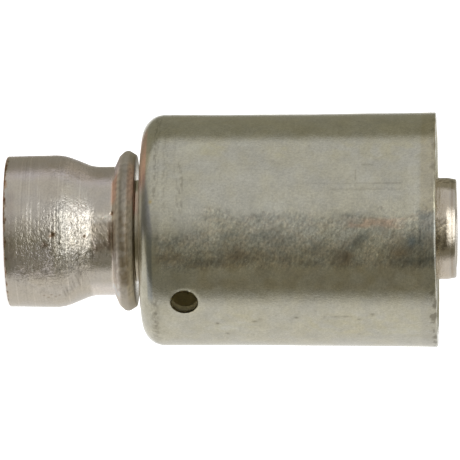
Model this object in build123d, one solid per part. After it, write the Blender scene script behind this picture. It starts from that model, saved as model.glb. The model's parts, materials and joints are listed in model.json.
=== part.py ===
from build123d import *

import os

# Weld-on beadlock hose fitting, standing on its weld socket. All sizes are in millimetres.
# The axis is +Z, from the socket's end face at z = 0 up to the nipple that the hose is pushed onto.
# Both pieces are turned about that axis, so each section is drawn as (radius, height).

# Weld socket: the tube slides in and is welded round the end face
tube_diameter = 15.88
weld_clearance = 0.06
socket_wall = 1.38
socket_length = 7.6
socket_depth = 7.2
socket_edge_chamfer = 0.4
socket_bore_chamfer = 0.25

# Taper from the socket down to the neck, rounded where it leaves each of them
taper_length = 2.95
taper_socket_rounding = 5.5
taper_neck_rounding = 3.0

# Neck, up to the outer bead's crest
neck_diameter = 15.88
neck_wall = 1.47
neck_length = 4.41
neck_bore_taper_length = 2.0

# Outer bead: a steep flank on the neck's side, a round crest, a shoulder and a flat face on the shell's side.
# The angles are those of the flank and the shoulder, from a plane across the axis and from the axis.
bead_diameter = 19.76
bead_rounding = 1.3
bead_flank_angle = 62
bead_shoulder_angle = 27
bead_crest_setback = 1.04

# Shell: a drawn cup that is crimped onto the hose. Its bore is straight, and its wall thickens towards the mouth.
hose_diameter = 25.4
hose_clearance = 0.25
shell_wall = 1.3
shell_end_wall = 1.3
shell_length = 36.1
shell_corner_rounding = 2.4
shell_hole_clearance = 0.1
shell_bead_gap = 0.7
mouth_thickening = 0.2
mouth_thickening_length = 6.0
mouth_edge_chamfer = 0.15
mouth_bore_chamfer = 0.35

# Sight hole: shows that the hose is pushed in up to the inner bead
sight_hole_diameter = 3.25
sight_hole_height = 5.6

# Inner bead: holds the shell's end wall from inside
inner_bead_height = 1.35
inner_bead_width = 2.0
inner_bead_chamfer = 0.6

# Nipple, with a row of barbs that the hose is pushed over
nipple_diameter = 12.54
nipple_wall = 1.42
nipple_reach = 2.6
nipple_tip_chamfer = 0.25
nipple_bore_chamfer = 0.3
tip_land_length = 1.2
barb_count = 3
barb_pitch = 7.5
barb_length = 2.9
barb_height = 0.45
barb_back_length = 0.25

# Radii
socket_bore_radius = tube_diameter / 2 + weld_clearance
socket_radius = socket_bore_radius + socket_wall
neck_radius = neck_diameter / 2
neck_bore_radius = neck_radius - neck_wall
bead_radius = bead_diameter / 2
nipple_radius = nipple_diameter / 2
nipple_bore_radius = nipple_radius - nipple_wall
inner_bead_radius = nipple_radius + inner_bead_height
shell_bore_radius = hose_diameter / 2 + hose_clearance
shell_radius = shell_bore_radius + shell_wall
shell_hole_radius = nipple_radius + shell_hole_clearance

# Heights, each stacked on the one below
neck_start = socket_length + taper_length
bead_crest = neck_start + neck_length
bead_end = bead_crest + bead_crest_setback
shell_start = bead_end + shell_bead_gap
shell_floor = shell_start + shell_end_wall
shell_mouth = shell_start + shell_length
inner_bead_end = shell_floor + inner_bead_width
nipple_tip = shell_mouth + nipple_reach
barbs_end = nipple_tip - tip_land_length


def outline(*corners):
    """A closed section from its corners, each (radius, height)."""
    return make_face(Polyline(*corners, close=True))


def band(inner_radius, outer_radius, start, end):
    """A plain rectangular section between two radii and two heights."""
    return outline((inner_radius, start), (outer_radius, start), (outer_radius, end), (inner_radius, end))


def rounded(section, corner, radius):
    """The section with its corner nearest to the given point rounded."""
    return fillet(section.vertices().sort_by_distance(corner)[0], radius)


def chamfered(section, corner, length):
    """The section with its corner nearest to the given point cut back at 45 degrees."""
    return chamfer(section.vertices().sort_by_distance(corner)[0], length)


def turned(section):
    """The solid that the section sweeps round the Z axis."""
    return revolve(Plane.XZ * section, Axis.Z, 360)


def tube_outside():
    """The section inside the stem's outer surface, without its beads and barbs: socket, taper, neck, nipple."""
    section = outline(
        (0, 0),
        (socket_radius, 0),
        (socket_radius, socket_length),
        (neck_radius, neck_start),
        (neck_radius, bead_end),
        (nipple_radius, bead_end),
        (nipple_radius, nipple_tip),
        (0, nipple_tip),
    )
    section = chamfered(section, (socket_radius, 0), socket_edge_chamfer)
    section = rounded(section, (socket_radius, socket_length), taper_socket_rounding)
    section = rounded(section, (neck_radius, neck_start), taper_neck_rounding)
    return chamfered(section, (nipple_radius, nipple_tip), nipple_tip_chamfer)


def bore():
    """The section of the way through the stem: tube socket, cone to the neck, cone to the nipple."""
    neck_bore_start = socket_depth + taper_length
    neck_bore_end = bead_end - neck_bore_taper_length
    return outline(
        (0, 0),
        (socket_bore_radius + socket_bore_chamfer, 0),
        (socket_bore_radius, socket_bore_chamfer),
        (socket_bore_radius, socket_depth),
        (neck_bore_radius, neck_bore_start),
        (neck_bore_radius, neck_bore_end),
        (nipple_bore_radius, bead_end),
        (nipple_bore_radius, nipple_tip - nipple_bore_chamfer),
        (nipple_bore_radius + nipple_bore_chamfer, nipple_tip),
        (0, nipple_tip),
    )


def outer_bead():
    """The section of the bead beside the shell, down to the bore: flank, round crest, shoulder and flat face."""
    crest_centre = (bead_radius - bead_rounding, bead_crest)
    crest = CenterArc(crest_centre, bead_rounding, -bead_flank_angle, bead_flank_angle + bead_shoulder_angle)
    flank_length = ((crest @ 0).X - neck_radius) / (crest % 0).X
    flank_foot = crest @ 0 - (crest % 0) * flank_length
    shoulder_length = (bead_end - (crest @ 1).Y) / (crest % 1).Y
    shoulder_end = crest @ 1 + (crest % 1) * shoulder_length
    sides = Polyline(
        crest @ 1,
        shoulder_end,
        (neck_bore_radius, bead_end),
        (neck_bore_radius, flank_foot.Y),
        flank_foot,
        crest @ 0,
    )
    return make_face([crest, sides])


def inner_bead():
    """The section of the bead inside the shell: flat against the shell's end wall, chamfered towards the hose."""
    section = band(nipple_bore_radius, inner_bead_radius, shell_floor, inner_bead_end)
    return chamfered(section, (inner_bead_radius, inner_bead_end), inner_bead_chamfer)


def barb(end):
    """One barb's section: steep towards the shell's end wall, a long slope towards the nipple's tip."""
    start = end - barb_length
    return outline(
        (nipple_bore_radius, start),
        (nipple_radius, start),
        (nipple_radius + barb_height, start + barb_back_length),
        (nipple_radius, end),
        (nipple_bore_radius, end),
    )


def stem():
    """Socket, neck, beads and barbed nipple, turned as one piece with its bore."""
    section = tube_outside() + outer_bead() + inner_bead()
    for index in range(barb_count):
        section += barb(barbs_end - index * barb_pitch)
    return turned(section - bore())


def shell():
    """The cup round the nipple: end wall with its hole, straight bore, thickened mouth and sight hole."""
    mouth_radius = shell_radius + mouth_thickening
    section = outline(
        (shell_hole_radius, shell_start),
        (shell_radius, shell_start),
        (shell_radius, shell_mouth - mouth_thickening_length),
        (mouth_radius, shell_mouth),
        (shell_bore_radius, shell_mouth),
        (shell_bore_radius, shell_floor),
        (shell_hole_radius, shell_floor),
    )
    section = rounded(section, (shell_radius, shell_start), shell_corner_rounding)
    section = chamfered(section, (shell_bore_radius, shell_floor), shell_corner_rounding - shell_wall)
    section = chamfered(section, (mouth_radius, shell_mouth), mouth_edge_chamfer)
    section = chamfered(section, (shell_bore_radius, shell_mouth), mouth_bore_chamfer)
    return turned(section) - sight_hole()


def sight_hole():
    """The drill's path through one side of the shell, towards -Y."""
    drill = Cylinder(sight_hole_diameter / 2, shell_radius, align=(Align.CENTER, Align.CENTER, Align.MIN))
    facing_front = Plane((0, 0, shell_start + sight_hole_height), x_dir=(1, 0, 0), z_dir=(0, -1, 0))
    reach_out = Pos(0, 0, nipple_radius + barb_height)
    return facing_front * reach_out * drill


os.makedirs("parts", exist_ok=True)
export_step(stem(), "parts/stem.step")
export_step(shell(), "parts/shell.step")
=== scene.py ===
import json
import math
from functools import reduce

import bpy
import bmesh
import numpy as np
from mathutils import Matrix, Vector


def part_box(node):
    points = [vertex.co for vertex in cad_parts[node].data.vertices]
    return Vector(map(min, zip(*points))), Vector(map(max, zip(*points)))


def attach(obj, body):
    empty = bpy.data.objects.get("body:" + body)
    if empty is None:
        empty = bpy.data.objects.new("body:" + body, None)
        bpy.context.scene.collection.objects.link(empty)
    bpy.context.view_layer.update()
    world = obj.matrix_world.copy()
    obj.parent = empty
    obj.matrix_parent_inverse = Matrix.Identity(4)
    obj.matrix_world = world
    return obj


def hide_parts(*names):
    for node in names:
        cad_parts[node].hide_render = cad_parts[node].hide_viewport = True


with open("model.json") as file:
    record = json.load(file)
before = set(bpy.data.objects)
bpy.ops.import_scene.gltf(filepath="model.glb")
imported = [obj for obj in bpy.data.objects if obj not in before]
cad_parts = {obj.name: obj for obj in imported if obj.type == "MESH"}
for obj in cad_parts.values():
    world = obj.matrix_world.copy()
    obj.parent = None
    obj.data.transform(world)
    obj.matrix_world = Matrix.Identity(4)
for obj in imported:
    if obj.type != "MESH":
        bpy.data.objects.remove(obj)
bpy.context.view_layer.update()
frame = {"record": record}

# Weld-on beadlock hose fitting: a turned stem and the drawn shell round its nipple.
# Lengths in this script are millimetres along the part's own axis, +Z, and MM turns them into metres.
MM = 0.001

# Sizes that the frame gives
shell_low, shell_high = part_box("shell")
stem_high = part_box("stem")[1]
mounts = {mount["name"]: mount for mount in frame["record"]["mounts"]}
SHELL_START = shell_low.z / MM
SHELL_MOUTH = shell_high.z / MM
MOUTH_RADIUS = shell_high.x / MM
BEAD_RADIUS = stem_high.x / MM
NIPPLE_TIP = stem_high.z / MM
SOCKET_BORE_RADIUS = mounts["tube_socket"]["dims"]["r_mm"]
NIPPLE_RADIUS = mounts["hose_nipple"]["dims"]["r_mm"]

# Stem
SOCKET_RADIUS = 9.38
SOCKET_EDGE_RADIUS = 9.27
SOCKET_DEPTH = 7.2
TAPER_START = 7.15
TAPER_END = 10.7
NECK_RADIUS = 7.94
NECK_BORE_RADIUS = 6.47
NIPPLE_BORE_RADIUS = 4.85
BEAD_END = SHELL_START - 0.7
BEAD_CREST = BEAD_END - 1.14
BEAD_LIP_RADIUS = 9.34
INNER_BEAD_RADIUS = 7.62
INNER_BEAD_WIDTH = 2.0
BARB_COUNT = 3
BARB_PITCH = 7.5
BARB_LENGTH = 2.9
BARB_HEIGHT = 0.45
TIP_LAND = 3.6
TIP_TAPER_LENGTH = 1.15
TIP_RADIUS = 6.06

# Shell
SHELL_RADIUS = 14.2
SHELL_BORE_RADIUS = 12.95
SHELL_END_WALL = 1.3
END_HOLE_RADIUS = 6.37
SHELL_CORNER = 2.75
SPECK_COUNT = 260

# Sight hole: its size and place, and how far its middle is shifted and how much wider than high it is
HOLE_RADIUS = 1.6
HOLE_HEIGHT = 22.42
HOLE_CHAMFER = 0.11
HOLE_SIDES = 96
HOLE_SHIFT = 0.1
HOLE_WIDENING = 1.04

# Meshes: points round each piece, the longest steps along its section where it shows and where it is
# hidden, and how much denser the front is
STEM_AROUND = 280
SHELL_AROUND = 330
STEM_STEP = 0.115
SHELL_STEP = 0.18
COARSE_STEP = 3.0
FRONT_DENSITY = 0.55

# The studio's own directions round the part. An angle round the axis is counted from FRONT, which faces the
# camera, and is positive towards the top of the picture.
FRONT_AZIMUTH = math.radians(-38.0)
CAMERA_ELEVATION = math.radians(2.8)
FRONT = Vector((math.sin(FRONT_AZIMUTH), -math.cos(FRONT_AZIMUTH), 0.0))
PICTURE_UP = Vector((-math.cos(FRONT_AZIMUTH), -math.sin(FRONT_AZIMUTH), 0.0))
HOLE_ANGLE = math.degrees(FRONT_AZIMUTH)

# The real stem's end is cut a little askew, the stem stands a little askew in the shell, and the shell's
# rim is a little askew too and lies MOUTH_REACH further out
SOCKET_END_TILT = math.radians(0.85)
STEM_LEAN = math.radians(0.3)
MOUTH_TILT = math.radians(0.4)
MOUTH_TILT_FORWARD = math.radians(0.32)
MOUTH_REACH = 0.2

# Camera: its distance in metres, a long lens and its sensor in millimetres, and the height that it looks at
CAMERA_DISTANCE = 0.926
CAMERA_LENS = 588.5
CAMERA_SENSOR = 36.0
CAMERA_ROLL = math.radians(-0.1)
CAMERA_TARGET = 27.47


class Graph:
    """Builds a node tree by calls, each of which returns the new node's output socket."""

    def __init__(self, tree):
        self.tree = tree

    def node(self, kind, inputs=(), out=0, **settings):
        node = self.tree.nodes.new(kind)
        for key, value in settings.items():
            setattr(node, key, value)
        for key, value in dict(inputs).items():
            self.feed(node.inputs[key], value)
        return node.outputs[out]

    def feed(self, socket, value):
        if isinstance(value, bpy.types.NodeSocket):
            self.tree.links.new(value, socket)
        elif isinstance(value, (tuple, list, Vector)) and socket.type == "RGBA":
            socket.default_value = (*value, 1.0)
        else:
            socket.default_value = value

    def math(self, operation, *values):
        return self.node("ShaderNodeMath", dict(enumerate(values)), operation=operation)

    def vector(self, operation, *values, out=0):
        return self.node("ShaderNodeVectorMath", dict(enumerate(values)), out, operation=operation)

    def along(self, vector, direction):
        """The vector's length along a direction."""
        return self.vector("DOT_PRODUCT", vector, direction, out=1)

    def ease(self, value, start, end, low=0.0, high=1.0):
        """Goes smoothly from low at start to high at end."""
        if start > end:
            start, end, low, high = end, start, high, low
        values = {"Value": value, "From Min": start, "From Max": end, "To Min": low, "To Max": high}
        return self.node("ShaderNodeMapRange", values, interpolation_type="SMOOTHSTEP")

    def noise(self, vector, scale, detail, roughness):
        values = {"Vector": vector, "Scale": scale, "Detail": detail, "Roughness": roughness}
        return self.node("ShaderNodeTexNoise", values)

    def mix(self, factor, a, b):
        """A colour between two."""
        return self.node("ShaderNodeMix", {0: factor, 6: a, 7: b}, 2, data_type="RGBA")

    def window(self, value, start, end, start_fade, end_fade):
        """1 between start and end, with soft ends."""
        rise = self.ease(value, start - start_fade / 2, start + start_fade / 2)
        fall = self.ease(value, end - end_fade / 2, end + end_fade / 2, 1, 0)
        return self.math("MULTIPLY", rise, fall)

    def lit(self, mask, colour, light):
        """The light with the colour added to it where the mask is 1."""
        mask = self.node("ShaderNodeCombineXYZ", {0: mask, 1: mask, 2: mask})
        return self.vector("MULTIPLY_ADD", mask, colour, light)


def rounded_outline(corners, step):
    """Points of an outline through (radius, height, rounding) corners, with an arc at each rounded one.

    The arc is finely divided where step(corner) is short.
    """
    points = []
    for i, (r, z, rounding) in enumerate(corners):
        corner = np.array((r, z))
        if not rounding:
            points.append(corner)
            continue
        before = np.array(corners[i - 1][:2]) - corner
        after = np.array(corners[(i + 1) % len(corners)][:2]) - corner
        before, after = before / np.linalg.norm(before), after / np.linalg.norm(after)
        half = 0.5 * math.acos(np.clip(before @ after, -1, 1))
        bisector = (before + after) / np.linalg.norm(before + after)
        centre = corner + bisector * rounding / math.sin(half)
        sweep = math.pi - 2 * half
        arc_turn, arc_length = (10.0, 0.12) if step(corner) < COARSE_STEP else (30.0, COARSE_STEP)
        steps = max(2, round(math.degrees(sweep) / arc_turn), math.ceil(sweep * rounding / arc_length))
        tangent_length = rounding / math.tan(half)
        spoke = corner + before * tangent_length - centre
        side = corner + after * tangent_length - centre
        turn = math.atan2(spoke[0] * side[1] - spoke[1] * side[0], spoke @ side)
        for k in range(steps + 1):
            a = turn * k / steps
            c, s = math.cos(a), math.sin(a)
            points.append(centre + np.array((c * spoke[0] - s * spoke[1], s * spoke[0] + c * spoke[1])))
    return np.array(points)


def subdivided(points, step):
    """The closed outline's points with every straight longer than the step there cut into equal parts."""
    out = []
    for a, b in zip(points, np.roll(points, -1, axis=0)):
        length = np.linalg.norm(b - a)
        cuts = max(1, math.ceil(length / step((a + b) / 2) - 1e-6))
        out += [a + (b - a) * k / cuts for k in range(cuts)]
    return np.array(out)


def ripple(points, wavelength, seed, stretch=(1, 1, 1), waves=16):
    """A smooth random field of about unit size, with waves longer where it is stretched."""
    rng = np.random.default_rng(seed)
    total = 0.0
    for _ in range(waves):
        direction = rng.normal(size=3)
        direction /= np.linalg.norm(direction) * np.array(stretch)
        direction *= 2 * math.pi / (wavelength * rng.uniform(0.7, 1.4))
        total = total + np.sin(points @ direction + rng.uniform(0, 2 * math.pi))
    return total * math.sqrt(2 / waves)


def around_gap(a, centre):
    """How far the angles a are from a centre in degrees, in radians, the short way round."""
    return (a - math.radians(centre) + math.pi) % (2 * math.pi) - math.pi


def spot(z, a, r, place, length, width, lean=0.0):
    """1 at a place, (height, degrees), fading over a length along the axis and a width round it."""
    along = z - place[0]
    across = around_gap(a, place[1]) * r
    c, s = math.cos(math.radians(lean)), math.sin(math.radians(lean))
    return np.exp(-(((along * c + across * s) / length) ** 2) - ((across * c - along * s) / width) ** 2)


def band(value, low, high, fade):
    """1 between low and high, with soft ends."""
    rise = np.clip((value - low) / fade + 0.5, 0, 1)
    fall = np.clip((high - value) / fade + 0.5, 0, 1)
    return rise * rise * (3 - 2 * rise) * fall * fall * (3 - 2 * fall)


def new_piece(name, verts, faces):
    """An object with points in millimetres, whose faces are turned outwards."""
    mesh = bpy.data.meshes.new(name)
    mesh.from_pydata((np.array(verts) * MM).tolist(), [], faces)
    work = bmesh.new()
    work.from_mesh(mesh)
    bmesh.ops.recalc_face_normals(work, faces=work.faces)
    work.to_mesh(mesh)
    work.free()
    piece = bpy.data.objects.new(name, mesh)
    bpy.context.scene.collection.objects.link(piece)
    return piece


def lathe(name, outline, around, shape, lean=0.0):
    """A closed turned piece from an outline of (radius, height), reshaped by shape(r, z, angle, outer).

    The last of these is 1 where the surface faces away from the axis and 0 in the bore.
    """
    turn = np.arange(around) * 2 * math.pi / around
    angle = turn - FRONT_DENSITY * np.sin(turn)
    rows = len(outline)
    r = np.repeat(outline[:, :1], around, axis=1)
    z = np.repeat(outline[:, 1:], around, axis=1)
    a = np.tile(angle, (rows, 1))
    run = np.roll(outline, -1, axis=0) - np.roll(outline, 1, axis=0)
    outer = np.clip(run[:, 1] / np.linalg.norm(run, axis=1), 0, 1)[:, None]
    r, z = shape(r, z, a, outer)
    world = math.atan2(FRONT.y, FRONT.x) - a
    shift = math.tan(lean) * (z - NIPPLE_TIP / 2)
    x = r * np.cos(world) + shift * PICTURE_UP.x
    y = r * np.sin(world) + shift * PICTURE_UP.y
    verts = np.stack((x, y, z), axis=-1).reshape(-1, 3)
    i, j = np.meshgrid(np.arange(rows), np.arange(around), indexing="ij")
    i2, j2 = (i + 1) % rows, (j + 1) % around
    corners = i * around + j, i * around + j2, i2 * around + j2, i2 * around + j
    return new_piece(name, verts, np.stack(corners, axis=-1).reshape(-1, 4).tolist())


def smooth(mesh):
    """Smooth shading with sharp edges where the surface turns a corner."""
    mesh.shade_smooth()
    mesh.set_sharp_from_angle(angle=math.radians(40))


# Marks of the lathe on the stem, as (height, depth in microns): the clearest grooves, which catch the lamp
GROOVES = (
    (2.45, 14), (2.7, 24), (3.2, 28), (3.68, 32), (4.6, 30),
    (5.6, 10), (6.56, 28), (7.4, 18), (8.0, 14),
)
GROOVE_WIDTH = 0.085
FINE_GROOVES = 90
TURNED_LINES = 60

# Dents of the stem and knocks of the shell, as (height, degrees), length and width in mm, depth in microns
DENTS = (
    ((6.22, -2.6), 0.3, 0.26, 70), ((6.05, -3.6), 0.16, 0.12, 50),
    ((10.05, -4.6), 0.17, 0.15, 45), ((5.22, -9.6), 0.16, 0.2, 25),
    ((5.5, -10.6), 0.14, 0.1, 25), ((13.4, 15.2), 0.16, 0.2, 130),
    ((13.05, -5), 0.1, 1.1, 30),
)
KNOCKS = (
    ((26.34, -53.4), 0.3, 0.25, 30), ((36, -48.8), 0.3, 0.22, 30),
    ((30.9, -51.8), 0.35, 0.2, 20), ((27.5, -62.8), 0.35, 0.25, 25),
    ((45.3, -46), 0.3, 0.2, 20),
)
# Slanted gouges, as (height, degrees) and depth in microns
GOUGES = (((7.7, -31), 26), ((8.2, -37), 34), ((8.75, -41), 30), ((9.3, -35), 26), ((9.7, -29), 20))
GOUGE_LENGTH, GOUGE_WIDTH, GOUGE_LEAN = 0.11, 1.2, 10
# Pits: their number, the least, most likely and greatest height, and their middle and spread in degrees
PIT_COUNT = 330
PIT_HEIGHTS = 1.8, 6.4, 10.6
PIT_MIDDLE, PIT_SPREAD = -6, 16
# The weld seam on the neck, as (height, degrees), and how high its ridge is
SEAM = 12.4, 11.8
SEAM_RIDGE = 0.03

# Draw rings of the shell, as (height, depth in microns)
DRAW_RINGS = (18.85, 10), (19.15, 6), (20.1, 6), (22.1, 4), (50.9, 8)
RING_WIDTH = 0.16
# How high and wide the burr round the sight hole is
BURR_HEIGHT = 0.022
BURR_WIDTH = 0.16
# The drill's sections, as how far outside the wall and how much wider than the hole
DRILL_SECTIONS = (-3.0, 0.0), (-HOLE_CHAMFER, 0.0), (0.0, HOLE_CHAMFER), (1.0, 1.0)


def stem_relief(r, z, a):
    """Tool marks, pits and dents of the stem's outside, in mm outwards."""
    rng = np.random.default_rng(11)
    points = np.stack((r * np.cos(a), r * np.sin(a), z), axis=-1)
    relief = 0.004 * ripple(points, 4, 1) + 0.0015 * ripple(points, 0.9, 2, (2, 2, 1))
    uneven = ripple(points, 5, 3, (1, 1, 0.4))
    for height, depth in GROOVES:
        fade = band(a, math.radians(-34), math.radians(36), math.radians(34)) * 0.85 + 0.15
        wander = height + 0.02 * np.sin(3 * a + height)
        relief -= 0.001 * depth * fade * np.exp(-(((z - wander) / GROOVE_WIDTH) ** 2)) * (1 + 0.3 * uneven)
    for _ in range(FINE_GROOVES):
        height = rng.uniform(0.5, TAPER_END + 0.3)
        depth = abs(rng.normal(0, 0.0055)) * (1.5 if height > TAPER_START - 1.5 else 1)
        phase, turns = rng.uniform(0, 2 * math.pi), rng.integers(1, 4)
        strength = np.clip(0.6 + 0.6 * np.sin(turns * a + phase), 0, 1)
        relief -= depth * strength * np.exp(-(((z - height) / rng.uniform(0.07, 0.12)) ** 2))
    for _ in range(PIT_COUNT):
        place = rng.triangular(*PIT_HEIGHTS), rng.normal(PIT_MIDDLE, PIT_SPREAD)
        size, depth = rng.uniform(0.06, 0.13), rng.uniform(-0.014, 0.018)
        relief -= depth * spot(z, a, r, place, size, size * rng.uniform(0.8, 2))
    for place, depth in GOUGES:
        relief -= 0.001 * depth * spot(z, a, r, place, GOUGE_LENGTH, GOUGE_WIDTH, GOUGE_LEAN)
    for place, length, width, depth in DENTS:
        relief -= 0.001 * depth * spot(z, a, r, place, length, width)
    seam = spot(z, a, r, SEAM, 1.3, 0.11, 1.5)
    return relief + SEAM_RIDGE * seam * (1 + 0.6 * ripple(points, 0.5, 4))


def stem_shape(r, z, a, outer):
    """The end's tilted and slightly ragged cut, and the relief on what shows."""
    near_end = np.clip(1 - z / 3, 0, 1)
    shows = band(z, 0.3, BEAD_END, 0.5) + 0.4 * band(z, SHELL_MOUTH, NIPPLE_TIP - 0.4, 0.4)
    r = r + outer * shows * stem_relief(r, z, a)
    at_edge = np.exp(-((z / 0.25) ** 2)) * (r > SOCKET_BORE_RADIUS + 0.6)
    rag = 0.5 * np.sin(23 * a + 1) + 0.4 * np.sin(41 * a) + 0.5 * np.sin(9 * a + 2)
    r = r + at_edge * (0.012 * rag + 0.05 * spot(z, a, r, (0.1, 62), 0.3, 0.9))
    z = z + near_end * math.tan(SOCKET_END_TILT) * (SOCKET_RADIUS - r * np.sin(a)) + 0.01 * at_edge * rag
    return r, np.maximum(z, 0)


def shell_relief(r, z, a):
    """The shell's slight waves, draw marks and knocks, in mm outwards."""
    points = np.stack((r * np.cos(a), r * np.sin(a), z), axis=-1)
    relief = 0.006 * ripple(points, 9, 21) + 0.0018 * ripple(points, 2.4, 22)
    relief += 0.0007 * ripple(points, 0.8, 23, (1, 1, 1.6))
    off_hole = np.hypot(z - HOLE_HEIGHT, around_gap(a, HOLE_ANGLE) * r)
    towards_burr = np.clip(-(z - HOLE_HEIGHT) - 1.5 * around_gap(a, HOLE_ANGLE) * r, -2, 2.5)
    at_rim = np.exp(-(((off_hole - HOLE_RADIUS - 0.1) / BURR_WIDTH) ** 2))
    relief += BURR_HEIGHT * towards_burr * at_rim
    uneven = 1 + 0.5 * ripple(points, 4, 24)
    for height, depth in DRAW_RINGS:
        relief -= 0.001 * depth * np.exp(-(((z - height) / RING_WIDTH) ** 2)) * uneven
    for place, length, width, depth in KNOCKS:
        relief -= 0.001 * depth * spot(z, a, r, place, length, width)
    return relief


def shell_shape(r, z, a, outer):
    """The mouth's slightly askew and uneven rim, and the relief of the outside."""
    near_mouth = np.clip((z - SHELL_MOUTH) / 4 + 1, 0, 1)
    r = r + outer * band(z, SHELL_START + 0.6, SHELL_MOUTH - 0.4, 0.6) * shell_relief(r, z, a)
    rag = 0.5 * np.sin(17 * a + 0.5) + 0.5 * np.sin(31 * a + 2) + 0.6 * np.sin(7 * a)
    z = z + 0.02 * rag * np.exp(-(((z - SHELL_MOUTH) / 0.3) ** 2))
    z = z + near_mouth * (MOUTH_REACH - math.tan(MOUTH_TILT) * r * np.sin(a))
    return r, z + near_mouth * math.tan(MOUTH_TILT_FORWARD) * r * np.cos(a)


def stem_step(point):
    """Fine rows where the stem shows, coarse ones in the bore and under the shell."""
    r, z = point
    outer = np.interp(z, (SOCKET_DEPTH, TAPER_END), (SOCKET_BORE_RADIUS + 0.6, NECK_RADIUS - 0.1))
    before_shell = r > outer and z < BEAD_END + 0.1
    past_shell = r > NIPPLE_RADIUS - 0.3 and z > SHELL_MOUTH - 1.1
    return STEM_STEP if before_shell or past_shell or z > NIPPLE_TIP - 0.3 else COARSE_STEP


def shell_step(point):
    """Fine rows on the outer wall and the rim, coarse ones inside."""
    r, z = point
    return SHELL_STEP if r > SHELL_RADIUS - 0.5 or z > SHELL_MOUTH - 0.5 else COARSE_STEP


def stem_outline():
    """Socket, taper, neck, beads, barbed nipple and bore."""
    inner_bead = SHELL_START + SHELL_END_WALL
    inner_bead_end = inner_bead + INNER_BEAD_WIDTH
    corners = [
        (SOCKET_BORE_RADIUS + 0.25, 0, 0),
        (SOCKET_EDGE_RADIUS, 0, 0.3),
        (SOCKET_EDGE_RADIUS + 0.02, 0.9, 1),
        (SOCKET_RADIUS, TAPER_START - 1.3, 2),
        (SOCKET_RADIUS, TAPER_START, 5.6),
        (NECK_RADIUS, TAPER_END, 3.8),
        (NECK_RADIUS, BEAD_CREST - 1.47, 0.2),
        (BEAD_RADIUS - 0.65, BEAD_CREST - 0.9, 0.5),
        (BEAD_RADIUS + 0.17, BEAD_CREST, 0.75),
        (BEAD_LIP_RADIUS, BEAD_END, 0.12),
        (NIPPLE_RADIUS, BEAD_END, 0.1),
        (NIPPLE_RADIUS, inner_bead, 0),
        (INNER_BEAD_RADIUS, inner_bead, 0.05),
        (INNER_BEAD_RADIUS, inner_bead_end, 0.7),
        (NIPPLE_RADIUS, inner_bead_end, 0.2),
    ]
    for index in reversed(range(BARB_COUNT)):
        end = NIPPLE_TIP - TIP_LAND - index * BARB_PITCH
        corners += [
            (NIPPLE_RADIUS, end - BARB_LENGTH, 0),
            (NIPPLE_RADIUS + BARB_HEIGHT, end - BARB_LENGTH + 0.25, 0.06),
            (NIPPLE_RADIUS, end, 0.5),
        ]
    corners += [
        (NIPPLE_RADIUS, NIPPLE_TIP - TIP_TAPER_LENGTH, 1.5),
        (TIP_RADIUS, NIPPLE_TIP, 0.25),
        (NIPPLE_BORE_RADIUS, NIPPLE_TIP, 0.25),
        (NIPPLE_BORE_RADIUS, BEAD_END, 1),
        (NECK_BORE_RADIUS, BEAD_END - 2, 1),
        (NECK_BORE_RADIUS, SOCKET_DEPTH + 2.95, 1.5),
        (SOCKET_BORE_RADIUS, SOCKET_DEPTH, 0.3),
        (SOCKET_BORE_RADIUS, 0.25, 0),
    ]
    return subdivided(rounded_outline(corners, stem_step), stem_step)


def shell_outline():
    """End wall with its hole, rounded corner, wall that thickens towards the mouth, rim and bore."""
    corners = [
        (END_HOLE_RADIUS, SHELL_START + 0.1, 0.1),
        (SHELL_RADIUS, SHELL_START + 0.1, SHELL_CORNER),
        (SHELL_RADIUS + 0.03, SHELL_START + 6, 9),
        (SHELL_RADIUS, SHELL_START + 11, 9),
        (SHELL_RADIUS + 0.05, SHELL_MOUTH - 17, 9),
        (MOUTH_RADIUS - 0.04, SHELL_MOUTH - 1.5, 9),
        (MOUTH_RADIUS, SHELL_MOUTH, 0.2),
        (SHELL_BORE_RADIUS, SHELL_MOUTH, 0.3),
        (SHELL_BORE_RADIUS, SHELL_START + SHELL_END_WALL, 1.1),
        (END_HOLE_RADIUS, SHELL_START + SHELL_END_WALL, 0.1),
    ]
    return subdivided(rounded_outline(corners, shell_step), shell_step)


def cut_sight_hole(shell):
    """Drills the sight hole through the wall that faces -Y, with a slightly ragged chamfer round it."""
    turn = np.arange(HOLE_SIDES) * 2 * math.pi / HOLE_SIDES
    ragged = 0.012 * np.sin(5 * turn + 1) + 0.009 * np.sin(11 * turn) + 0.007 * np.sin(19 * turn + 2)
    uneven = 0.6 - 0.4 * np.cos(turn)
    verts, faces = [], []
    for over_wall, wider in DRILL_SECTIONS:
        radius = HOLE_RADIUS + wider * uneven + ragged * (over_wall >= 0)
        x = HOLE_SHIFT + HOLE_WIDENING * radius * np.cos(turn)
        z = HOLE_HEIGHT + radius * np.sin(turn)
        y = -np.sqrt(SHELL_RADIUS**2 - x**2) - over_wall
        verts += np.stack((x, y, z), axis=-1).tolist()
    for low in range(0, len(verts) - HOLE_SIDES, HOLE_SIDES):
        high = low + HOLE_SIDES
        for i in range(HOLE_SIDES):
            j = (i + 1) % HOLE_SIDES
            faces.append((low + i, low + j, high + j, high + i))
    faces += [tuple(range(HOLE_SIDES)), tuple(range(len(verts) - HOLE_SIDES, len(verts)))]
    drill = new_piece("drill", verts, faces)
    cut = shell.modifiers.new("sight_hole", "BOOLEAN")
    cut.operation, cut.solver, cut.object = "DIFFERENCE", "EXACT", drill
    graph = bpy.context.evaluated_depsgraph_get()
    drilled = bpy.data.meshes.new_from_object(shell.evaluated_get(graph))
    shell.modifiers.clear()
    shell.data = drilled
    bpy.data.objects.remove(drill)


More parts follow.
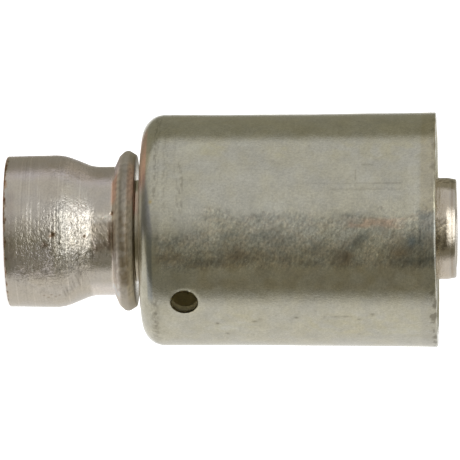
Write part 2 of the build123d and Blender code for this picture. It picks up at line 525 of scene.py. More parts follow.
class Marks:
    """Stains and scratches, painted into the points of a turned piece.

    A place is (height, degrees from FRONT). Heights and degrees are each (from, to), and fades are
    (along the axis, round it).
    """

    def __init__(self, piece, lean=0.0):
        self.mesh = piece.data
        points = np.empty(len(self.mesh.vertices) * 3)
        self.mesh.vertices.foreach_get("co", points)
        self.points = points.reshape(-1, 3) / MM
        self.z = self.points[:, 2]
        up = self.points @ np.array(PICTURE_UP) - math.tan(lean) * (self.z - NIPPLE_TIP / 2)
        front = self.points @ np.array(FRONT)
        self.r = np.hypot(up, front)
        self.a = np.arctan2(up, front)
        self.tint = np.ones((len(self.z), 3))
        self.worn, self.matte, self.dull = np.zeros((3, len(self.z)))

    def spot(self, place, length, width, lean=0.0):
        """A soft spot of that length along the axis and width round it, which leans in degrees."""
        return spot(self.z, self.a, self.r, place, length, width, lean)

    def area(self, heights, degrees, fades):
        """1 inside a stretch of heights and angles, with soft edges."""
        turn = np.degrees(around_gap(self.a, sum(degrees) / 2)) + sum(degrees) / 2
        return band(self.z, *heights, fades[0]) * band(turn, *degrees, fades[1])

    def broken(self, wavelength, seed, share=0.5, stretch=(1, 1, 1)):
        """A random pattern of patches, 1 inside and 0 outside them."""
        return np.clip(0.5 + 1.2 * (ripple(self.points, wavelength, seed, stretch) + 2 * share - 1), 0, 1)

    def paint(self, mask, colour, strength=1.0):
        """Multiplies the tint by the colour where the mask is 1."""
        self.tint *= 1 + strength * mask[:, None] * (np.array(colour) - 1)

    def paint_areas(self, rows):
        """Paints rows of heights, degrees, fades and colour."""
        for heights, degrees, fades, colour in rows:
            self.paint(self.area(heights, degrees, fades), colour)

    def paint_spots(self, rows, colour):
        """Paints rows of place, length, width, strength and, where the spot leans, its lean."""
        for place, length, width, strength, *lean in rows:
            self.paint(self.spot(place, length, width, *lean), colour, strength)

    def paint_dirt(self, rows):
        """Paints rows of heights, degrees, fades, patches as broken() takes them, and strength."""
        for heights, degrees, fades, patches, strength in rows:
            self.paint(self.area(heights, degrees, fades) * self.broken(*patches), SOOT, strength)

    def keep(self):
        """Writes what was painted into the mesh's attributes."""
        tint = self.mesh.attributes.new("tint", "FLOAT_COLOR", "POINT")
        tint.data.foreach_set("color", np.column_stack((self.tint, np.ones(len(self.z)))).ravel())
        for name in ("worn", "matte", "dull"):
            attribute = self.mesh.attributes.new(name, "FLOAT", "POINT")
            attribute.data.foreach_set("value", getattr(self, name))


# Colours that the marks multiply the metal's own colour by
BROWN = 0.42, 0.31, 0.22
SOOT = 0.42, 0.40, 0.36
RUST = 0.62, 0.38, 0.22
PALE_RUST = 0.86, 0.66, 0.5
DARK_RUST = 0.36, 0.27, 0.2
PINK = 1.36, 0.97, 0.98
BLUE = 0.66, 0.74, 0.88
OCHRE = 0.95, 0.78, 0.42
SLATE = 0.48, 0.52, 0.56
UMBER = 0.6, 0.53, 0.48
# Painted sheen
SHEEN = 1.08, 1.1, 1.13
GLINT = 1.9, 1.9, 1.85
SCRATCHED = 1.7, 1.7, 1.68
# A painted highlight for grooves that catch the lamp
GROOVE_HIGHLIGHT = 1.45, 1.45, 1.42
YELLOWED = 1.03, 1.0, 0.84

# Dark nicks of the stem, as place, length, width and strength, and the places of some small ones
NICKS = (
    ((6.25, -2.6), 0.34, 0.36, 1.2), ((5.95, -3.9), 0.28, 0.16, 0.9),
    ((10.05, -4.6), 0.2, 0.2, 1.1), ((5.22, -9.6), 0.28, 0.3, 0.8),
    ((5.5, -10.8), 0.24, 0.16, 0.8), ((5, -11.5), 0.2, 0.2, 0.7),
    ((13.42, 15.4), 0.22, 0.28, 1.2), ((13.1, -5), 0.12, 1.1, 0.95),
    ((11.5, -16), 0.4, 0.3, 0.5), ((12.1, -15), 0.35, 0.25, 0.5),
    ((12.6, -12), 0.25, 0.4, 0.5), ((11.9, -12.6), 0.4, 0.2, 0.4),
)
SMALL_NICKS = (4.9, -57), (5.4, -60), (5.8, -56), (6.3, -59), (6.8, -57)
# Bright scratches on the nipple's tip, as the nicks, with their lean
TIP_SCRATCHES = (
    ((53.7, 1.5), 0.6, 0.07, 0.9, 28), ((53.9, -1), 0.6, 0.07, 0.9, -35),
    ((54.1, 4), 0.6, 0.07, 0.9, 8), ((53.5, -3), 0.6, 0.07, 0.9, 50),
)
# Heights of the tool lines that get a painted highlight where they catch the lamp, places of the dark
# slanted lines, and the place of the painted highlight along the seam
BRIGHT_LINES = 2.7, 3.18, 3.67, 4.59, 6.55, 7.2, 7.9, 8.6
SLANTED_LINES = (7.45, -56), (7.75, -53), (8.35, -52), (8.6, -48), (9.2, -46), (9.5, -40)
SEAM_HIGHLIGHT = 12.3, 12.4

# Tints of the stem, as heights, degrees, fades and colour
STEM_TINTS = (
    # The panel on the neck, its lighter part, and the neck round it, with painted light on its lower side
    # and darker where it meets the bead
    ((10.85, 13.4), (-20, 7), (0.25, 3), (0.95, 0.92, 0.88)),
    ((10.85, 12.95), (-8, 5), (0.25, 2), (1.2, 1.19, 1.19)),
    ((10.6, 14.2), (-100, -56), (0.5, 14), (1.4, 1.4, 1.48)),
    ((11, 13.3), (-29, -6), (0.3, 6), (1.26, 1.26, 1.36)),
    ((12.85, 13.4), (-17, 9), (0.3, 5), (0.7, 0.64, 0.6)),
    # The socket: painted light on a band below its middle, and darker near its end
    ((0.8, 6.2), (-36, -12), (1.2, 10), (1.26, 1.26, 1.4)),
    ((0.4, 1.4), (-25, 32), (0.5, 10), (0.89, 0.87, 0.87)),
    # The taper: painted light and shade that reshape the lamp's reflection, above and below it and at both
    # its ends
    ((6.6, 8.1), (-18, 22), (0.8, 14), (0.76, 0.77, 0.77)),
    ((7, 10.6), (-30, -14), (0.6, 9), (1.12, 1.14, 1.19)),
    ((7.2, 10.4), (21, 38), (0.6, 10), (1.12, 1.13, 1.12)),
    ((10.6, 11.25), (-26, 20), (0.3, 8), (0.72, 0.71, 0.69)),
    # The bead: a pink tint, and painted light and shade on its foot, its flank, its crest and its rim
    ((13.2, 13.95), (24, 50), (0.3, 8), (1.08, 0.85, 0.77)),
    ((13.2, 14.25), (-60, 60), (0.4, 12), (1.26, 1.24, 1.22)),
    ((13.4, 14.3), (-60, -16), (0.4, 12), (1.2, 1.22, 1.34)),
    ((14.2, 15.6), (12, 54), (0.6, 14), (0.71, 0.71, 0.7)),
    ((15.2, 15.8), (-60, 60), (0.3, 14), (1.25, 1.22, 1.16)),
    ((15.75, BEAD_END + 0.15), (-75, 75), (0.15, 8), (0.95, 0.93, 0.88)),
    # The nipple's tip: painted light and shade from its upper to its lower side, and a ring round it
    ((SHELL_MOUTH, 54.6), (9, 76), (0.3, 8), (1.1, 1.06, 1)),
    ((SHELL_MOUTH, 54.6), (-26, 9), (0.3, 4), (0.84, 0.81, 0.76)),
    ((SHELL_MOUTH, 54.6), (-84, -24), (0.3, 3), (1.12, 1.08, 1.04)),
    ((54.75, 55.05), (-90, 90), (0.12, 5), (0.865, 0.82, 0.766)),
)
# Dirt on the neck, the bead, the socket and the nipple's tip, as paint_dirt() takes it
STEM_DIRT = (
    ((10.9, 13.6), (-26, 9), (0.4, 6), (0.45, 37, 0.25, (2, 2, 1)), 0.45),
    ((13.5, 16), (-60, 60), (0.4, 12), (0.5, 38, 0.35, (1.5, 1.5, 1)), 0.3),
    ((0.6, 10.8), (-40, 8), (0.6, 20), (0.5, 33, 0.3, (1.6, 1.6, 1)), 0.22),
    ((SHELL_MOUTH, NIPPLE_TIP), (-22, -8), (0.3, 5), (0.5, 39), 0.5),
    ((SHELL_MOUTH, 54.4), (-26, 12), (0.4, 6), (0.6, 54, 0.45), 0.55),
    ((SHELL_MOUTH, NIPPLE_TIP), (62, 90), (0.3, 6), (0.5, 51, 0.4), 0.7),
)


def mark_stem(stem):
    """Rust at the cut end, nicks, tool lines, painted highlights on some grooves and along the seam, the
    panel on the neck, brown staining and painted shade on the bead, other painted light and shade, and
    wear.
    """
    marks = Marks(stem, STEM_LEAN)
    outside = marks.r > NECK_BORE_RADIUS + 0.3
    rust_end = 0.2 + 0.06 * ripple(marks.points, 0.7, 30)
    fringe = 0.34 + 0.08 * ripple(marks.points, 1.6, 31) + 0.05 * ripple(marks.points, 0.5, 35)
    chips = band(marks.z, 0.15, fringe + 0.12, 0.15) * marks.broken(0.5, 36, 0.25, (1.6, 1.6, 0.7))
    marks.paint(band(marks.z, -1, rust_end, 0.12) * outside, RUST, 0.95)
    marks.paint(band(marks.z, -1, fringe, 0.24) * outside, PALE_RUST, 0.8)
    marks.paint(chips * outside, DARK_RUST, 0.85)
    marks.paint_spots(NICKS, BROWN)
    for place in SMALL_NICKS:
        marks.paint(marks.spot(place, 0.16, 0.12, 20), BROWN, 0.7)
    marks.paint_spots(TIP_SCRATCHES, SCRATCHED)
    # Painted highlights on the grooves where they catch the lamp
    for height in BRIGHT_LINES:
        line = marks.area((height - 0.04, height + 0.04), (-34, 22), (0.11, 22))
        marks.paint(line * (0.5 + 0.5 * marks.broken(1.2, 60, 0.6, (0.5, 0.5, 1))), GROOVE_HIGHLIGHT, 0.9)
    shades = np.random.default_rng(62)
    for _ in range(TURNED_LINES):
        height, middle = shades.uniform(1.6, 10.6), shades.uniform(-60, 60)
        reach, strength = shades.uniform(15, 45), shades.uniform(-0.2, 0.24)
        line = marks.area((height - 0.03, height + 0.03), (middle - reach, middle + reach), (0.12, 30))
        marks.paint(line * outside, [1 + strength] * 3)
    for place in SLANTED_LINES:
        marks.paint(marks.spot(place, 0.11, 0.95, GOUGE_LEAN), SOOT, 0.5)
    # A painted highlight along the seam's ridge
    streak = marks.spot(SEAM_HIGHLIGHT, 1.5, 0.42, 1.5) * (0.35 + 0.65 * marks.broken(0.5, 61, 0.6))
    marks.paint(streak, (1.6, 1.58, 1.55), 0.95)
    marks.paint_areas(STEM_TINTS)
    marks.paint_dirt(STEM_DIRT)
    # Brown staining and painted shade over the lamp's highlight on the bead's crest
    stains_and_shade = marks.area((14.3, 15.5), (-44, 14), (0.6, 16)) * (0.6 + 0.4 * marks.broken(1.2, 32, 0.7))
    marks.paint(stains_and_shade, (0.58, 0.52, 0.43))
    # Painted light on the nipple between the bead and the shell
    gap_painted_light = marks.area((BEAD_END + 0.3, SHELL_START + 0.6), (-90, 90), (0.5, 10))
    gap_painted_light *= marks.r < NIPPLE_RADIUS + 0.2
    marks.paint(gap_painted_light, (1.4, 1.42, 1.46))
    # Painted light: the stem's upper side lighter and bluer
    upper_painted_light = marks.area((0.3, 14.2), (46, 110), (1, 16)) * outside
    marks.paint(upper_painted_light, (1.17, 1.14, 1.28))

    marks.worn = 0.62 * marks.area((5, 10.8), (-32, 24), (2, 20)) * outside
    marks.worn += 0.38 * marks.area((1.5, 11), (-60, 12), (2, 30)) * outside
    marks.worn += 0.3 * marks.area((5.5, 10.8), (24, 100), (2, 30)) * marks.broken(2, 34, 0.6)
    marks.worn += 0.12 * marks.area((10.8, 14), (-30, 10), (0.6, 12))
    marks.worn = 0.1 + 0.9 * np.clip(marks.worn, 0, 1)
    bead = band(marks.z, 13.5, 16.2, 0.6) * (marks.r > NECK_RADIUS + 0.2)
    marks.matte = 2.1 * bead - 0.3 * (marks.z > SHELL_MOUTH) + 0.6 * upper_painted_light + 3 * gap_painted_light
    under_shell = band(marks.z, BEAD_END + 1.4, SHELL_MOUTH - 0.6, 0.4)
    marks.dull = under_shell * (marks.r > NIPPLE_RADIUS - 0.3)
    marks.keep()


# Dark draw rings near the shell's closed end, as height, half the width, degrees and strength
DARK_RINGS = (
    (18.85, 0.2, (14, 80), 0.5), (18.85, 0.2, (-62, -32), 0.5),
    (19.25, 0.14, (20, 80), 0.3), (20, 0.16, (10, 70), 0.3),
    (20.35, 0.12, (22, 60), 0.25), (21.2, 0.12, (24, 60), 0.16),
)
# Yellowed areas, as heights, degrees and strength
YELLOW_AREAS = (
    ((24.4, 27.6), (39, 48), 0.5), ((32.8, 35.4), (38, 47), 0.35),
    ((40, 51.5), (37, 48), 0.4), ((26, 31), (-60, -44), 0.3),
    ((37, 51), (-64, -46), 0.35),
)
# Long dark scratches along the axis, as heights, degrees and strength
LONG_SCRATCHES = (
    ((37, 45), 23.2, 0.2), ((45, 49), 23.2, 0.4),
    ((40.5, 49), 20.2, 0.3), ((29, 33.5), 31, 0.12),
)
# Dark knocks, as place, length, width and strength
DARK_KNOCKS = (
    ((26.34, -53.4), 0.22, 0.2, 0.95), ((27.5, -62.9), 0.25, 0.2, 0.85),
    ((30.9, -51.8), 0.35, 0.16, 0.7), ((36, -48.8), 0.28, 0.18, 0.9),
    ((42, -47.4), 0.7, 0.13, 0.6), ((45.3, -46), 0.3, 0.15, 0.85),
    ((31.6, -50.2), 0.25, 0.14, 0.6), ((40.7, -47.9), 0.4, 0.12, 0.6),
    ((43.6, -49.5), 0.3, 0.12, 0.5),
)
# Bluish dark streaks, as the knocks, with their lean
SLATE_STREAKS = (
    ((43.9, -5), 2, 0.7, 1, 38), ((50.6, -5.5), 1.3, 1, 0.8, 50),
    ((28.2, -2.5), 1.3, 0.6, 0.6, 20), ((32.1, -2.2), 1.5, 0.6, 0.6, 15),
    ((38.6, -8), 1.4, 0.6, 0.4, 44), ((25.5, -16), 1.8, 0.5, 0.6, 0),
    ((37.4, -16.6), 1.2, 0.4, 0.6, 5), ((50.7, -15.4), 2.3, 0.6, 0.9, 5),
    ((20.8, -7), 1.3, 0.5, 0.4, 10), ((34.5, 6.5), 1.6, 0.3, 0.3, 5),
    ((42.5, 7), 1.8, 0.3, 0.35, 5), ((28.5, 6), 1.4, 0.3, 0.25, 5),
)
# Brown patches, as the streaks
UMBER_PATCHES = (
    ((28.9, -13.6), 2.6, 0.8, 0.7, 10), ((34.5, -14), 2, 0.6, 0.3, 0),
    ((21, -13.5), 1.6, 0.6, 0.6, 0), ((42.2, -13.4), 1, 0.9, 1, 50),
    ((48.6, -10.8), 1.3, 1.1, 0.9, 40), ((24.8, -3), 0.9, 0.5, 0.3, 50),
    ((29.2, -9), 1, 0.8, 0.4, 60),
)
# Patches of painted sheen, and painted glints as bright specks, as the knocks
SHEEN_PATCHES = (
    ((23.8, 45), 1.6, 0.7, 1), ((29.5, 47), 1, 0.5, 0.6),
    ((27.5, -57), 2, 0.7, 0.7), ((48.8, -59), 2.4, 0.6, 0.8),
    ((43, -36), 2, 0.4, 0.5), ((33, 12), 2.5, 0.8, 0.6),
)
BRIGHT_SPECKS = (
    ((26.3, -4.5), 0.14, 0.14, 0.9), ((26.4, -13), 0.14, 0.14, 0.9),
    ((42.8, -8.5), 0.12, 0.12, 0.9), ((46, -12), 0.12, 0.12, 0.9),
)
# The blue stain near the mouth and the ochre one near the closed end, each as (height, degrees)
BLUE_STAIN = 50.2, -6
OCHRE_STAIN = 18.43, 14.2

# Tints of the shell: a bluish dark band on the corner, a short scratch, the ring before the mouth, and a
# lighter stripe of painted light along the dark reflected band
SHELL_TINTS = (
    ((17.95, 18.6), (-38, -2), (0.25, 6), (0.64, 0.676, 0.748)),
    ((44, 45.5), (33, 33.6), (0.3, 0.5), (0.768, 0.76, 0.744)),
    ((49.7, 50.8), (-30, 40), (0.4, 20), (1.06, 1.06, 1.07)),
    ((24, 52.5), (-31, -17), (2, 4), (1.07, 1.05, 1.03)),
)
# Dirt at the corner, in dashes and across the long scratches, as paint_dirt() takes it
SHELL_DIRT = (
    ((18.3, 19.3), (-82, -32), (0.4, 10), (0.7, 50, 0.6), 0.4),
    ((21.6, 22.4), (8, 36), (0.2, 4), (0.6, 41, 0.4, (1.5, 1.5, 0.6)), 0.4),
    ((43.25, 43.45), (21, 33), (0.12, 2), (1, 43, 0.6), 0.4),
)


def mark_corner(marks, degrees):
    """A painted reflection as a dark blue triangle, and a pink tint, on the shell's rounded closed end."""
    corner = marks.z < SHELL_START + SHELL_CORNER + 0.3
    # A painted reflection: the dark blue triangle
    slanted = SHELL_START + 1.05 + 0.032 * np.clip(28 - degrees, 0, 34)
    triangle = band(marks.z, 17.3, slanted, 0.4) * band(degrees, -2, 31, 10)
    marks.paint(triangle * corner, (0.62, 0.63, 0.73), 0.95)
    pink = band(marks.z, 0, SHELL_START + 1, 0.3) * band(degrees, 24, 66, 12)
    marks.paint(pink * corner, PINK)


def mark_mouth(marks, degrees, outside):
    """The turned lines, the tints and the chipped plating along the shell's rim."""
    rim = 51.2, SHELL_MOUTH + 1
    lines = 0.75 + 0.25 * np.sin(marks.z * 16 + 1.5 * ripple(marks.points, 3, 45))
    middle = marks.area((51, SHELL_MOUTH + 1), (-19, 9), (0.3, 5))
    marks.paint(middle * outside * lines, (0.64, 0.66, 0.71), 0.95)
    marks.paint(marks.area(rim, (9, 90), (0.4, 6)) * outside, (0.93, 0.89, 0.81), 0.9)
    marks.paint(marks.area(rim, (-90, -34), (0.4, 6)) * outside, (0.9, 0.9, 0.92), 0.8)
    ragged = 52.5 - 0.12 * ripple(marks.points, 0.9, 55)
    chips = marks.broken(1, 53, 0.5, (1.4, 1.4, 0.7)) * band(marks.z, ragged, SHELL_MOUTH + 1, 0.25)
    marks.paint(chips * outside * band(degrees, -95, -31, 6), SOOT, 0.75)
    marks.paint(chips * outside * band(degrees, 12, 95, 6), SOOT, 0.4)


def mark_sight_hole(marks, outside):
    """Painted shade on the sight hole's wall, and a painted highlight on the upper side of the edge round
    it.
    """
    front = marks.points[:, 1] < 0
    off_hole = np.hypot(marks.z - HOLE_HEIGHT, marks.points[:, 0] - HOLE_SHIFT)
    # Painted shade on the hole's wall
    wall = (off_hole < HOLE_RADIUS * HOLE_WIDENING + 0.04) * front
    marks.paint(wall * (marks.r > SHELL_BORE_RADIUS - 0.1), (0.4, 0.37, 0.28))
    # A painted highlight on the upper part of the edge round the hole
    ring = np.exp(-(((off_hole - HOLE_RADIUS - 0.2) / 0.1) ** 2)) * front * outside
    marks.paint(ring * np.clip(0.6 - 0.6 * (HOLE_HEIGHT - marks.z), 0, 1), (1.22, 1.22, 1.2), 0.8)


def mark_shell(shell):
    """The bluish and brown patches, draw rings, scratches and specks of the shell's outside, painted light,
    shade, sheen and reflections, and wear.
    """
    marks = Marks(shell)
    outside = marks.r > SHELL_BORE_RADIUS + 0.35
    degrees = np.degrees(marks.a)
    mark_corner(marks, degrees)
    mark_mouth(marks, degrees, outside)
    mark_sight_hole(marks, outside)
    marks.paint_areas(SHELL_TINTS)
    marks.paint_dirt(SHELL_DIRT)
    marks.paint_spots(DARK_KNOCKS, SOOT)
    marks.paint_spots(SLATE_STREAKS, SLATE)
    marks.paint_spots(UMBER_PATCHES, UMBER)
    # Painted sheen and painted glints
    marks.paint_spots(SHEEN_PATCHES, SHEEN)
    marks.paint_spots(BRIGHT_SPECKS, GLINT)
    marks.paint(marks.spot(BLUE_STAIN, 0.5, 1.1), BLUE, 0.9)
    marks.paint(marks.spot(OCHRE_STAIN, 0.2, 0.22), OCHRE, 0.9)
    for height, width, reach, strength in DARK_RINGS:
        ring = marks.area((height - width, height + width), reach, (width, 12))
        marks.paint(ring * marks.broken(0.7, 40 + int(height * 10), 0.55, (1, 1, 0.4)), SOOT, strength)
    for heights, reach, strength in YELLOW_AREAS:
        marks.paint(marks.area(heights, reach, (1.2, 5)) * marks.broken(1.6, 42), YELLOWED, strength)
    for heights, turn, strength in LONG_SCRATCHES:
        line = marks.area(heights, (turn - 0.35, turn + 0.35), (0.5, 0.5))
        uneven = 0.5 + 0.5 * marks.broken(0.8, int(heights[0]), 0.6, (0.6, 0.6, 1.2))
        marks.paint(line * uneven, SOOT, strength)
    rng = np.random.default_rng(5)
    for _ in range(SPECK_COUNT):
        place = rng.uniform(SHELL_START + 2.8, SHELL_MOUTH - 0.3), rng.uniform(-100, 100)
        size = rng.uniform(0.09, 0.2)
        marks.paint(marks.spot(place, size, size), SOOT, rng.uniform(0.05, 0.3))
    pink = marks.area((42.6, 49.4), (1, 5.4), (0.8, 2.5))
    marks.paint(pink * (0.4 + 0.6 * marks.broken(1.5, 44, 0.65)), (1.08, 0.9, 0.85), 0.9)
    shadow = np.clip((2 - degrees) / 20, 0, 1) * np.clip((degrees + 19.5) / 2.5, 0, 1)
    marks.paint(shadow * band(marks.z, 19, SHELL_MOUTH + 1, 1) * outside, (0.955, 0.93, 0.905))
    olive = marks.area((24, 51), (-31, -17), (2, 4)) * marks.broken(1.8, 46, 0.5, (1, 1, 1.4))
    marks.paint(olive, (0.9, 0.86, 0.78), 0.6)

    wander = 1.6 * ripple(marks.points, 3.5, 47) + 0.8 * ripple(marks.points, 1.1, 48)
    upper = np.clip((9.5 + wander - degrees) / 2.5, 0, 1)
    worn = marks.area((24.5, SHELL_MOUTH + 1), (-19, 40), (6, 4)) * upper
    marks.paint(worn * np.clip((degrees - 4) / 3, 0, 1) * marks.broken(0.7, 49, 0.4), SOOT, 0.12)
    marks.worn = np.clip(worn + marks.area((19, 25.5), (-20, -2), (2, 6)), 0, 1) * outside
    inside = band(marks.z, SHELL_START + SHELL_END_WALL, SHELL_MOUTH - 0.2, 0.2)
    marks.dull = (marks.r < SHELL_BORE_RADIUS + 0.2) * inside
    marks.keep()


# The film of old coating on hidden inner surfaces, and the two colours that each steel wanders between
FILM = 1.02, 0.97, 0.76
STEM_COLOURS = (0.70, 0.64, 0.545), (0.675, 0.63, 0.565)
SHELL_COLOURS = (0.67, 0.645, 0.52), (0.655, 0.642, 0.555)


class Steel(Graph):
    """The nodes that both steels share, for a material whose places are in millimetres."""

    def __init__(self, name, colours):
        self.material = bpy.data.materials.new(name)
        self.material.use_nodes = True
        super().__init__(self.material.node_tree)
        self.shader = self.tree.nodes["Principled BSDF"]
        self.place = self.scaled(self.node("ShaderNodeTexCoord", out=3), 1 / MM)
        self.tint = self.node("ShaderNodeAttribute", attribute_name="tint")
        for name in ("worn", "matte", "dull"):
            setattr(self, name, self.node("ShaderNodeAttribute", out=2, attribute_name=name))
        hue = self.texture(0.3, shift=(5, 47, 9))
        self.colour = self.mix(self.ease(hue, 0.35, 0.65), *colours)
        self.streak = self.texture(1.0, stretch=(0.25, 0.25, 6.5))

    def scaled(self, vector, scale):
        return self.node("ShaderNodeVectorMath", {0: vector, "Scale": scale}, operation="SCALE")

    def texture(self, scale, detail=3.0, roughness=0.6, stretch=(1, 1, 1), shift=(0, 0, 0)):
        """Noise with a scale in turns to the millimetre."""
        place = self.vector("MULTIPLY_ADD", self.place, stretch, shift)
        return self.noise(place, scale, detail, roughness)

    def strokes(self, lean, length, width, shift=(0, 0, 0)):
        """Noise drawn out into strokes that lean, in degrees, from the axis towards PICTURE_UP."""
        c, s = math.cos(math.radians(lean)), math.sin(math.radians(lean))
        axis = Vector((0, 0, 1))
        u = self.math("MULTIPLY", self.along(self.place, axis * c + PICTURE_UP * s), 1 / length)
        v = self.math("MULTIPLY", self.along(self.place, PICTURE_UP * c - axis * s), 1 / width)
        w = self.along(self.place, FRONT)
        place = self.vector("ADD", self.node("ShaderNodeCombineXYZ", {0: u, 1: v, 2: w}), shift)
        return self.noise(place, 1.0, 3.0, 0.6)

    def vary(self, value, noise, amount):
        """The value times a factor that the noise moves round 1."""
        return self.math("MULTIPLY", value, self.math("MULTIPLY_ADD", noise, amount, 1 - amount / 2))

    def times(self, *values):
        """The values' product."""
        return reduce(lambda a, b: self.math("MULTIPLY", a, b), values)

    def total(self, *values):
        """The values' sum."""
        return reduce(lambda a, b: self.math("ADD", a, b), values)

    def more(self, value, *parts):
        """The value plus its product with the parts."""
        return self.math("MULTIPLY_ADD", self.times(*parts), value, value)

    def finish(self, colour, roughness, height):
        """The material. Height is in millimetres, and hidden inner surfaces are dull, under the film."""
        colour = self.mix(self.dull, colour, self.vector("MULTIPLY", colour, FILM))
        self.feed(self.shader.inputs["Base Color"], colour)
        self.feed(self.shader.inputs["Metallic"], self.math("MULTIPLY_ADD", self.dull, -0.9, 1.0))
        self.feed(self.shader.inputs["Roughness"], self.math("MULTIPLY_ADD", self.dull, 0.4, roughness))
        bump = self.node("ShaderNodeBump", {"Strength": 1.0, "Distance": MM, "Height": height})
        self.feed(self.shader.inputs["Normal"], bump)
        return self.material


def stem_steel():
    """Bright turned steel with streaks round the axis, and pits and dirt where it is worn."""
    steel = Steel("stem_metal", STEM_COLOURS)
    grain = steel.texture(5)
    lumps = steel.texture(3.2, 2, 0.55, stretch=(0.85, 0.85, 1.15), shift=(3, 8, 5))
    waves = steel.texture(1.2, 2, 0.55, stretch=(0.8, 0.8, 1.2), shift=(1, 4, 7))
    patch = steel.texture(0.5, 4, shift=(31, 7, 3))
    pits = steel.times(steel.ease(lumps, 0.46, 0.36), steel.worn)
    peaks = steel.times(steel.ease(lumps, 0.54, 0.64), steel.worn)
    shade = steel.vary(steel.vary(steel.vary(1, patch, 0.14), grain, 0.3), steel.streak, 0.14)
    shade = steel.more(shade, pits, -0.3)
    shade = steel.more(shade, steel.math("SUBTRACT", waves, 0.5), steel.worn)
    colour = steel.scaled(steel.vector("MULTIPLY", steel.colour, steel.tint), shade)
    height = steel.total(
        steel.times(waves, steel.worn, 0.12),
        steel.times(grain, 0.014),
        steel.times(steel.streak, 0.012),
        steel.times(peaks, 0.02),
        steel.times(pits, -0.024),
    )
    rough = steel.total(
        steel.times(patch, 0.06),
        steel.times(grain, 0.06),
        steel.times(steel.matte, 0.2),
        0.07,
    )
    return steel.finish(colour, rough, height)


def shell_steel():
    """Satin plated steel, blotched dark and bluish where it is worn."""
    steel = Steel("shell_metal", SHELL_COLOURS)
    grain = steel.texture(4.6, 3, 0.62, stretch=(1, 1, 0.7))
    patch = steel.texture(0.55, 4, 0.62, shift=(31, 7, 3))
    blotch = steel.texture(1.1, 5, 0.7, stretch=(0.9, 0.9, 0.7))
    cloud = steel.texture(0.33, 3, 0.55, stretch=(1, 1, 0.8), shift=(9, 2, 6))
    dark = steel.times(steel.ease(blotch, 0.60, 0.38), steel.worn)
    clouded = steel.times(steel.ease(cloud, 0.56, 0.42), steel.worn)
    upright = steel.strokes(78, 0.9, 0.26)
    slanted = steel.strokes(46, 1.3, 0.34, (7, 3, 1))
    fine = steel.texture(3.4, 3, 0.65, shift=(4, 9, 2))
    brushed = steel.total(upright, slanted, fine, -1.5)
    shade = steel.vary(steel.vary(steel.vary(1, patch, 0.3), grain, 0.5), steel.streak, 0.08)
    shade = steel.more(shade, dark, -0.12)
    shade = steel.vary(steel.more(shade, clouded, -0.14), cloud, 0.2)
    shade = steel.more(shade, brushed, steel.math("MULTIPLY_ADD", steel.worn, 0.75, 0.15))
    colour = steel.scaled(steel.vector("MULTIPLY", steel.colour, steel.tint), shade)
    cooled = steel.vector("MULTIPLY", colour, (0.985, 1.005, 1.02))
    warmed = steel.vector("MULTIPLY", colour, (1.02, 0.995, 0.98))
    colour = steel.mix(steel.worn, colour, steel.mix(steel.ease(blotch, 0.44, 0.56), cooled, warmed))
    height = steel.total(
        steel.times(grain, 0.011),
        steel.times(steel.streak, 0.003),
        steel.times(dark, -0.004),
    )
    rough = steel.total(
        steel.times(patch, 0.12),
        steel.times(grain, 0.08),
        steel.times(dark, 0.06),
        steel.times(steel.matte, 0.2),
        0.09,
    )
    return steel.finish(colour, rough, height)


stem = lathe("stem_turned", stem_outline(), STEM_AROUND, stem_shape, STEM_LEAN)
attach(stem, "root")
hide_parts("stem")
smooth(stem.data)
mark_stem(stem)
stem.data.materials.append(stem_steel())

shell = lathe("shell_drawn", shell_outline(), SHELL_AROUND, shell_shape)
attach(shell, "root")
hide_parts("shell")
cut_sight_hole(shell)
smooth(shell.data)
mark_shell(shell)
shell.data.materials.append(shell_steel())


def place_camera():
    """A long lens at the photograph's angle, turned so that the part's axis runs from left to right."""
    data = bpy.data.cameras.new("camera")
    data.sensor_width = CAMERA_SENSOR
    data.lens = CAMERA_LENS
    camera = bpy.data.objects.new("camera", data)
    bpy.context.scene.collection.objects.link(camera)
    back = FRONT * math.cos(CAMERA_ELEVATION) + Vector((0, 0, math.sin(CAMERA_ELEVATION)))
    c, s = math.cos(CAMERA_ROLL), math.sin(CAMERA_ROLL)
    level = PICTURE_UP.cross(back)
    right, up = level * c + PICTURE_UP * s, PICTURE_UP * c - level * s
    target = Vector((0, 0, CAMERA_TARGET * MM))
    place = Matrix((right, up, back)).transposed().to_4x4()
    place.translation = target + back * CAMERA_DISTANCE
    camera.matrix_world = place
    data.clip_start, data.clip_end = 0.1, 50.0
    bpy.context.scene.camera = camera


# Soft light panels round the part, which its polished metal mirrors. Each has its turn round the axis
# (from, to), counted as above, how softly each edge fades, its reach along the axis (from, to, fade), all
# in degrees, and its colour.
PANELS = {
    "softbox_above": ((6, 103), (62, 9), (-63, 70, 50), (0.34, 0.345, 0.375)),
    "sheet_below": ((-182, -73), (8, 22), (-82, 90, 30), (0.47, 0.466, 0.48)),
    "sheet_behind": ((-182, -150), (8, 40), (-70, 70, 40), (0.08, 0.08, 0.08)),
    "ceiling": ((100, 180), (30, 10), (-80, 80, 40), (0.06, 0.06, 0.045)),
    "ceiling_right": ((98, 172), (10, 20), (14, 90, 16), (0.12, 0.11, 0.1)),
    "warm_sheet": ((98, 178), (20, 8), (-70, -42, 14), (0.13, 0.10, 0.08)),
    "lamp": ((-34, 42), (28, 28), (14, 50, 10), (1.25, 1.28, 1.32)),
    "end_light": ((-180, 180), (1, 1), (82, 100, 6), (1.5, 1.45, 1.3)),
}
# The dim light of the room where no panel is
ROOM = (0.19, 0.18, 0.14)
# White backdrop behind the part: the turn and the tilt, in degrees, over which it fades in
BACKDROP_EDGE = 160, 170
BACKDROP_TILT = 24, 12
# A wide soft glow round one direction, in degrees
GLOW_TURN, GLOW_TILT = 5, 35
GLOW_OUTER = 52
GLOW = (0.32, 0.32, 0.31)
WHITE = (1, 1, 1)

# The floor's half width in metres, its shade of grey and its own light
FLOOR_SIZE = 20.0
FLOOR_GREY = 0.9
FLOOR_GLOW = 0.9


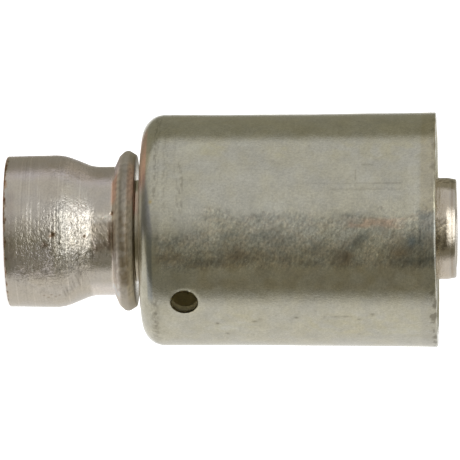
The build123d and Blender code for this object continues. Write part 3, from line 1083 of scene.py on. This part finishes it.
def studio_world():
    """Panels of light that the metal mirrors, and plain white for the camera."""
    world = bpy.data.worlds.new("studio")
    bpy.context.scene.world = world
    world.use_nodes = True
    graph = Graph(world.node_tree)
    direction = graph.node("ShaderNodeTexCoord")
    turn = graph.math("ARCTAN2", graph.along(direction, PICTURE_UP), graph.along(direction, FRONT))
    turn = graph.math("DEGREES", turn)
    tilt = graph.math("DEGREES", graph.math("ARCSINE", graph.along(direction, (0, 0, 1))))
    light = ROOM
    for (start, end), (start_fade, end_fade), (low, high, fade), colour in PANELS.values():
        shown = []
        for shift in (0, 360):
            turned = graph.math("SUBTRACT", turn, shift)
            shown.append(graph.window(turned, start, end, start_fade, end_fade))
        reach = graph.window(tilt, low, high, fade, fade)
        light = graph.lit(graph.math("MULTIPLY", graph.math("MAXIMUM", *shown), reach), colour, light)
    behind = graph.ease(graph.math("ABSOLUTE", turn), *BACKDROP_EDGE)
    behind = graph.math("MULTIPLY", behind, graph.ease(graph.math("ABSOLUTE", tilt), *BACKDROP_TILT))
    light = graph.mix(behind, light, WHITE)
    glow_turn, glow_tilt = math.radians(GLOW_TURN), math.radians(GLOW_TILT)
    glow = (FRONT * math.cos(glow_turn) + PICTURE_UP * math.sin(glow_turn)) * math.cos(glow_tilt)
    glow.z = math.sin(glow_tilt)
    off_glow = graph.math("DEGREES", graph.math("ARCCOSINE", graph.along(direction, glow)))
    light = graph.lit(graph.ease(off_glow, GLOW_OUTER, 0), GLOW, light)
    light = graph.mix(graph.node("ShaderNodeLightPath"), light, WHITE)
    graph.feed(world.node_tree.nodes["Background"].inputs["Color"], light)


def lay_floor():
    """A large pale floor."""
    low, high = -FLOOR_SIZE, FLOOR_SIZE
    mesh = bpy.data.meshes.new("floor")
    mesh.from_pydata([(low, low, 0), (high, low, 0), (high, high, 0), (low, high, 0)], [], [(0, 1, 2, 3)])
    floor = bpy.data.objects.new("floor", mesh)
    bpy.context.scene.collection.objects.link(floor)
    material = bpy.data.materials.new("floor")
    material.use_nodes = True
    shader = material.node_tree.nodes["Principled BSDF"]
    shader.inputs["Base Color"].default_value = (FLOOR_GREY, FLOOR_GREY, FLOOR_GREY, 1)
    shader.inputs["Roughness"].default_value = 1.0
    shader.inputs["Emission Color"].default_value = (*WHITE, 1)
    shader.inputs["Emission Strength"].default_value = FLOOR_GLOW
    mesh.materials.append(material)
    floor.visible_glossy = False


place_camera()
studio_world()
lay_floor()
bpy.context.scene.view_settings.view_transform = "Standard"
